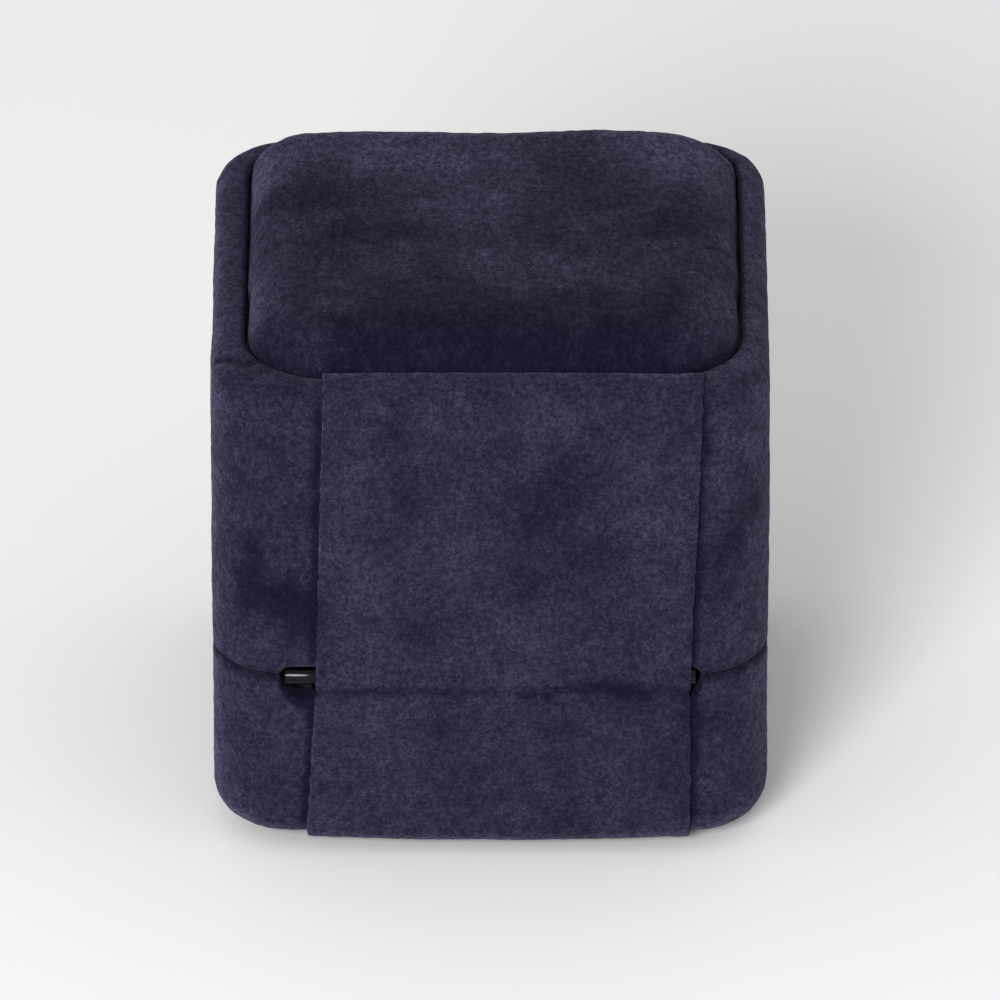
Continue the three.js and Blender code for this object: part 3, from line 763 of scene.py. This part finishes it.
def ring_roll(name, material, replaced, facing):
    """A velvet roll on the base's floor. facing is +1 for the front one, whose slot side is towards +Y."""
    low, high = node_box(replaced[0])
    half_x, half_y = half_sizes(low, high)
    tall = high[2] - low[2]
    slopes = (2.2, 2.2, 4.0, 6.5) if facing > 0 else (2.2, 2.2, 6.5, 4.0)
    points, quads, under = pillow(half_x, half_y, 3.0, 0, tall - 5.6, tall, slopes, LID_STEP)
    # The wall side follows the box's rounded corners, and the roll's crown sags a little at its ends.
    x, y = points[:, 0], points[:, 1]
    wall = half_y + facing * y
    corner = CORNER - 3.05
    over = np.maximum(np.abs(x) - half_x + corner, 0)
    depth = corner - np.sqrt(np.maximum(corner**2 - over**2, 0))
    points[:, 1] += facing * depth * np.clip(1 - wall / half_y, 0, 1)
    lift = np.clip(points[:, 2] - (tall - 6), 0, 6) / 6
    points[:, 2] += lift * (0.25 * noise(points * (1, 1, 0), 8, 51) - 0.5 * (x / half_x) ** 4 * lift)
    points += middle_at(low, high, low[2])
    piece = velvet_piece(name, points, quads, material, "base", caps=[under], grain=(0.8, 1, 1))
    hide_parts(*replaced)


def side_lining(material):
    """Satin round the inside of the lid, drawn in slightly between its edges, with upright puckers."""
    low, high = node_box("lid_lining")
    outer = -low[0] - HALF
    inner = outer - LINING
    top, bottom = high[2], low[2]
    start = bottom + 0.3
    section = np.vstack(
        [
            line((outer, start), (outer, top), HIDDEN_STEP),
            line((outer, top), (inner, top), HIDDEN_STEP),
            line((inner, top), (inner, start), INNER_STEP),
            arc((outer - LINING / 2, bottom + LINING_FOLD), LINING_FOLD, 180, 360, 0.12),
        ]
    )
    points, quads, u, _ = sweep(section, 0.4)
    quads, _ = outwards(points, quads)
    inside = u < inner + 0.1
    height = (points[:, 2] - bottom) / (top - bottom)
    belly = np.sin(np.clip(height, 0, 1) * math.pi) * inside
    upright = points * (1, 1, 0.12)
    puckers = noise(upright, 2.2, 61) + 0.5 * noise(upright, 1.1, 62)
    shift = belly * (0.12 + 0.09 * puckers) + 0.03 * puckers * inside
    drawn = points + point_normals(points, quads) * shift[:, None]
    piece = make("lid_side_satin", drawn, quads, material, "lid")
    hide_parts("lid_lining")


def ceiling_pad(material):
    """The satin cushion inside the lid's top, puckered round its edge."""
    low, high = node_box("ceiling_satin")
    half_x, half_y = half_sizes(low, high)
    drop = high[2] - low[2]
    points, quads, under = pillow(half_x, half_y, 5.4, 0, 0.4, drop, (5, 5, 5, 5), 0.4)
    x, y = points[:, 0], points[:, 1]
    lift = np.clip(points[:, 2] / drop, 0, 1)
    edge = np.minimum(half_x - np.abs(x), half_y - np.abs(y))
    angle = np.arctan2(y, x)
    around = np.stack([np.cos(angle), np.sin(angle), 0 * x], axis=1)
    puckers = noise(around * 14, 1.0, 71)
    points[:, 2] += lift * 0.3 * puckers * np.exp(-(((edge - 2.5) / 1.8) ** 2))
    points[:, 2] += lift * 0.18 * noise(points * (1, 1, 0), 6, 72)
    points[:, 2] *= -1
    points += middle_at(low, high, high[2])
    quads, caps = outwards(points, quads, [under])
    piece = make("ceiling_satin_pad", points, quads, material, "lid", caps)
    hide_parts("ceiling_satin", "ceiling_foam")


def underside(material):
    """The card under the base, covered in short flock, with softened edges."""
    low, high = node_box("bottom_card")
    half_x, half_y = (high[0] - low[0]) / 2, (high[1] - low[1]) / 2
    points, quads, under = pillow(half_x, half_y, 3.0, 0, 0.55, 0.9, (0.4, 0.4, 0.4, 0.4), 0.5)
    points[:, 2] *= -1
    points += middle_at(low, high, high[2])
    quads, caps = outwards(points, quads, [under])
    piece = make("underside_flock", points, quads, material, "base", caps, brushed(points))
    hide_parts("bottom_card")


# ---- hinge ----

METAL_ROUND = 0.07
FLAT_ANGLE = math.radians(1)
BEVEL_ANGLE = math.radians(40)
SHARP_ANGLE = math.radians(35)


def merge_flat_faces(mesh):
    """Takes away the CAD model's doubled points and the edges inside its flat faces."""
    work = bmesh.new()
    work.from_mesh(mesh)
    bmesh.ops.remove_doubles(work, verts=work.verts, dist=1e-6)
    inner = [e for e in work.edges if len(e.link_faces) == 2 and e.calc_face_angle() < FLAT_ANGLE]
    bmesh.ops.dissolve_edges(work, edges=inner, use_verts=True)
    work.to_mesh(mesh)
    work.free()


def softened(node, name, material, body):
    """A metal piece of the CAD model with its edges rounded and its round faces smooth."""
    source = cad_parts[node]
    piece = bpy.data.objects.new(name, source.data.copy())
    piece.matrix_world = source.matrix_world
    bpy.context.scene.collection.objects.link(piece)
    merge_flat_faces(piece.data)
    bevel = piece.modifiers.new("bevel", "BEVEL")
    bevel.width = METAL_ROUND * MM
    bevel.segments = 2
    bevel.limit_method = "ANGLE"
    bevel.angle_limit = BEVEL_ANGLE
    bpy.context.view_layer.update()
    shaped = piece.evaluated_get(bpy.context.evaluated_depsgraph_get())
    rounded = bpy.data.meshes.new_from_object(shaped)
    piece.modifiers.clear()
    piece.data = rounded
    rounded.materials.clear()
    rounded.materials.append(material)
    rounded.polygons.foreach_set("use_smooth", np.ones(len(rounded.polygons), bool))
    rounded.set_sharp_from_angle(angle=SHARP_ANGLE)
    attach(piece, body)
    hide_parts(node)


# ---- materials ----


def add(tree, kind, **properties):
    """A new shader node with its properties set."""
    node = tree.nodes.new(kind)
    for name, value in properties.items():
        setattr(node, name, value)
    return node


def connect(node, socket, value):
    """Links a socket to an input, or sets the input to a value."""
    if isinstance(value, bpy.types.NodeSocket):
        node.id_data.links.new(value, socket)
    else:
        socket.default_value = value


def fill(node, **inputs):
    """Sets a node's inputs by name, with _ for a space. A socket is linked, and anything else is set."""
    for name, value in inputs.items():
        connect(node, node.inputs[name.replace("_", " ")], value)
    return node


def new_material(name):
    """A new material, its node tree and its shader."""
    material = bpy.data.materials.new(name)
    material.use_nodes = True
    return material, material.node_tree, material.node_tree.nodes["Principled BSDF"]


def place_in(tree, stretch=None):
    """The place on the piece, in metres, stretched along each axis if asked."""
    place = add(tree, "ShaderNodeTexCoord").outputs["Object"]
    if stretch is None:
        return place
    return fill(add(tree, "ShaderNodeMapping"), Vector=place, Scale=stretch).outputs[0]


def fractal(tree, place, scale, detail=2.0, roughness=0.5):
    """Noise from 0 to 1."""
    node = add(tree, "ShaderNodeTexNoise")
    fill(node, Vector=place, Scale=scale, Detail=detail, Roughness=roughness)
    return node.outputs["Fac"]


def remap(tree, value, low, high, to_low, to_high):
    """Carries a value from one range to another, and holds it there."""
    node = add(tree, "ShaderNodeMapRange", clamp=True)
    for socket, setting in zip(list(node.inputs)[:5], [value, low, high, to_low, to_high]):
        connect(node, socket, setting)
    return node.outputs[0]


def multiply(tree, a, b):
    """The product of two values."""
    node = add(tree, "ShaderNodeMath", operation="MULTIPLY")
    tree.links.new(a, node.inputs[0])
    tree.links.new(b, node.inputs[1])
    return node.outputs[0]


def between(tree, factor, dark, light):
    """A colour between two others."""
    node = add(tree, "ShaderNodeMix", data_type="RGBA")
    tree.links.new(factor, node.inputs["Factor"])
    node.inputs[6].default_value = (*dark, 1)
    node.inputs[7].default_value = (*light, 1)
    return node.outputs[2]


def scaled(color, factor):
    """A lighter or darker colour."""
    return [min(1.0, c * factor) for c in color]


def bumped(tree, height, strength, distance):
    """A normal disturbed by a height."""
    node = add(tree, "ShaderNodeBump")
    return fill(node, Strength=strength, Distance=distance, Height=height).outputs[0]


# The pile's clumps, tufts and tips: the noise's scale, its detail and its contrast.
PILE_SIZES = [(360, 1.0, 0.12), (850, 1.0, 0.13), (1700, 1.0, 0.26), (3300, 1.0, 0.4), (6500, 1.0, 0.36)]
BRIGHTEST = 2.4  # the tone that stands for the lightest pile
SHEEN_TINT = (0.37, 0.36, 0.62, 1)


def velvet(name, dark, light, sheen=0.22, stretch=(1, 1, 1)):
    """Short-pile velvet. Its tone runs from dark to light with the pile's lie, the shade painted into it,
    and its grain.

    stretch squeezes the grain along each axis, so that brushed pile reads as longer strokes.
    """
    material, tree, shader = new_material(name)
    place = place_in(tree, stretch)
    # The pile's stored lie carries the painted shade too.
    lie_and_shade = add(tree, "ShaderNodeAttribute", attribute_name="nap_and_shade").outputs["Fac"]
    tone = remap(tree, lie_and_shade, 0.0, 1.0, 0.3, 1.7)
    for size, detail, contrast in PILE_SIZES:
        grain = fractal(tree, place, size, detail, 0.6)
        tone = multiply(tree, tone, remap(tree, grain, 0.3, 0.7, 1 - contrast, 1 + contrast))
    color = between(tree, remap(tree, tone, 0.0, BRIGHTEST, 0.0, 1.0), dark, light)
    normal = bumped(tree, grain, 0.8, 0.00012)
    fill(shader, Base_Color=color, Roughness=0.95, Normal=normal, Specular_IOR_Level=0.08)
    glow = remap(tree, tone, 0.0, BRIGHTEST, 0.0, BRIGHTEST * sheen)
    fill(shader, Sheen_Weight=glow, Sheen_Roughness=0.45, Sheen_Tint=SHEEN_TINT)
    return material


# The satin's threads: how much each set is squeezed along each axis.
WEAVE = ((9000, 9000, 700), (700, 700, 9000))


def satin(name, color):
    """Woven satin: a fine weave in two directions and a soft gloss."""
    material, tree, shader = new_material(name)
    weave = multiply(tree, *[fractal(tree, place_in(tree, run), 1.0, 1.0) for run in WEAVE])
    factor = remap(tree, weave, 0.15, 0.4, 0.0, 1.0)
    shade = between(tree, factor, scaled(color, 0.75), scaled(color, 1.3))
    normal = bumped(tree, weave, 0.35, 0.00003)
    fill(shader, Base_Color=shade, Roughness=0.42, Normal=normal, Specular_IOR_Level=0.6)
    fill(shader, Sheen_Weight=0.25, Sheen_Roughness=0.3, Anisotropic=0.5)
    return material


def plain(name, color, roughness, metallic=0.0, grain=900, depth=0.00002):
    """A moulded, cut or stamped surface with a slight unevenness."""
    material, tree, shader = new_material(name)
    uneven = fractal(tree, place_in(tree), grain, 3.0)
    shade = between(tree, uneven, scaled(color, 0.85), scaled(color, 1.15))
    gloss = remap(tree, uneven, 0.3, 0.7, roughness * 0.8, min(1.0, roughness * 1.2))
    normal = bumped(tree, uneven, 0.5, depth)
    fill(shader, Base_Color=shade, Roughness=gloss, Metallic=metallic, Normal=normal)
    return material


# ---- set ----

FLOOR_HALF = 3000


def camera():
    """Looks at the back of the closed box from above, from far away."""
    data = bpy.data.cameras.new("camera")
    data.sensor_width = 36
    data.lens = 635.3
    data.clip_end = 20
    data.shift_x = 0.0097
    data.shift_y = -0.0248
    item = bpy.data.objects.new("camera", data)
    bpy.context.scene.collection.objects.link(item)
    target = Vector((0, 0, (cad_low[2] + cad_high[2]) / 2))
    elevation = math.radians(28.5)
    distance = 1.6
    item.location = target + distance * Vector((0, math.cos(elevation), math.sin(elevation)))
    item.rotation_euler = (target - item.location).to_track_quat("-Z", "Y").to_euler()
    bpy.context.scene.camera = item


def softbox(name, place, size, power):
    """A round soft light that faces the box."""
    data = bpy.data.lights.new(name, "AREA")
    data.shape = "DISK"
    data.size = size
    data.energy = power
    item = bpy.data.objects.new(name, data)
    item.location = place
    aim = Vector((0, 0, 0.025)) - item.location
    item.rotation_euler = aim.to_track_quat("-Z", "Y").to_euler()
    bpy.context.scene.collection.objects.link(item)


def studio():
    """A pale floor, even light from all round, and one soft light on the camera's left."""
    corners = np.array([(-1, -1, 0), (1, -1, 0), (1, 1, 0), (-1, 1, 0)], float) * FLOOR_HALF
    material, _, shader = new_material("floor_white")
    fill(shader, Base_Color=(0.93, 0.93, 0.935, 1), Roughness=0.9)
    floor = make("floor", corners, np.array([[0, 1, 2, 3]]), material)
    world = bpy.data.worlds.new("studio")
    world.use_nodes = True
    fill(world.node_tree.nodes["Background"], Color=(1, 1, 1, 1), Strength=0.62)
    bpy.context.scene.world = world
    softbox("key", (0.3, 1.0, 0.5), 0.45, 12)
    bpy.context.scene.view_settings.view_transform = "Standard"


# ---- the box ----

VELVET_DARK = (0.0008, 0.0006, 0.0095)
VELVET_LIGHT = (0.0388, 0.0366, 0.065)

camera()
studio()
plush = velvet("indigo_velvet", VELVET_DARK, VELVET_LIGHT)
pad_plush = velvet("indigo_velvet_brushed", VELVET_DARK, VELVET_LIGHT, stretch=PAD_GRAIN)
lining_satin = satin("indigo_satin", (0.045, 0.043, 0.1))
plastic = plain("black_plastic", (0.008, 0.008, 0.011), 0.55)
card = plain("dark_card", (0.03, 0.029, 0.035), 0.9, grain=2500)
# The hinge's steel is nearly black: partly a dark finish, partly painted shade for the slot it sits in.
hinge_steel = plain("hinge_steel", (0.017, 0.017, 0.02), 0.15, 1.0, grain=1500, depth=0.000008)

base_piece = base_wrap(plush)
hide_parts("base_velvet")
lid_piece = lid_wrap(plush)
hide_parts("lid_velvet")
top_pad(pad_plush)
hinge_strip(plush)
ring_roll("front_roll_plush", plush, ["front_roll_velvet", "front_roll_foam"], 1)
ring_roll("rear_roll_plush", plush, ["rear_roll_velvet", "rear_roll_foam"], -1)
side_lining(lining_satin)
ceiling_pad(lining_satin)
underside(plush)

for node in ("base_shell", "lid_shell"):
    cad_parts[node].data.materials[0] = plastic
for node in ("insert_card", "ceiling_card", "top_pad_board"):
    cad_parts[node].data.materials[0] = card
metal = {
    "base": [
        "hinge_base_leaf",
        "hinge_pin",
        "snap_spring",
        "spring_rivet",
        "base_rivet_left",
        "base_rivet_right",
    ],
    "lid": ["hinge_lid_leaf", "lid_rivet_left", "lid_rivet_right"],
}
for body, nodes in metal.items():
    for node in nodes:
        softened(node, node + "_smooth", hinge_steel, body)
